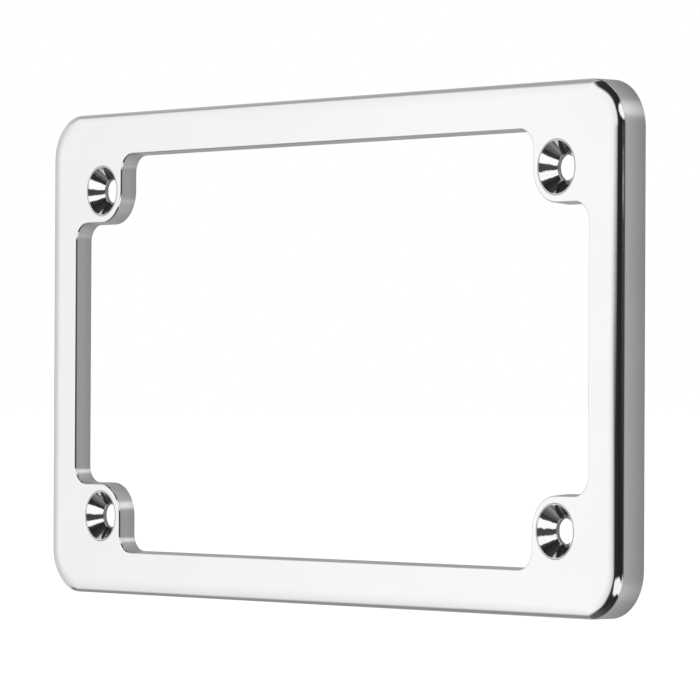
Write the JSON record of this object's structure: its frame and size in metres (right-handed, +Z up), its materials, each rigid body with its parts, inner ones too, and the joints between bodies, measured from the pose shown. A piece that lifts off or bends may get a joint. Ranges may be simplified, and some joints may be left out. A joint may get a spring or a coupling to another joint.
{
  "type": "number plate holder",
  "caption": "One-piece chromed frame for a motorcycle number plate, with a countersunk screw hole in a rounded tab at each inner corner and a recess behind its rim.",
  "frame": {"origin": "centre of the rectangle of screw holes, on the plane of the tabs' flat back, where the holes end", "axes": "+Z up along the shorter sides, +X along the longer sides to the right as seen from the front, +Y from the front face to the back, where the plate and its bracket lie"},
  "size_m": [0.1828, 0.0063, 0.103],
  "materials": {
    "chrome_plating": "polished"
  },
  "bodies": {
    "root": {"plate_frame": "chrome_plating"}
  },
  "joints": []
}
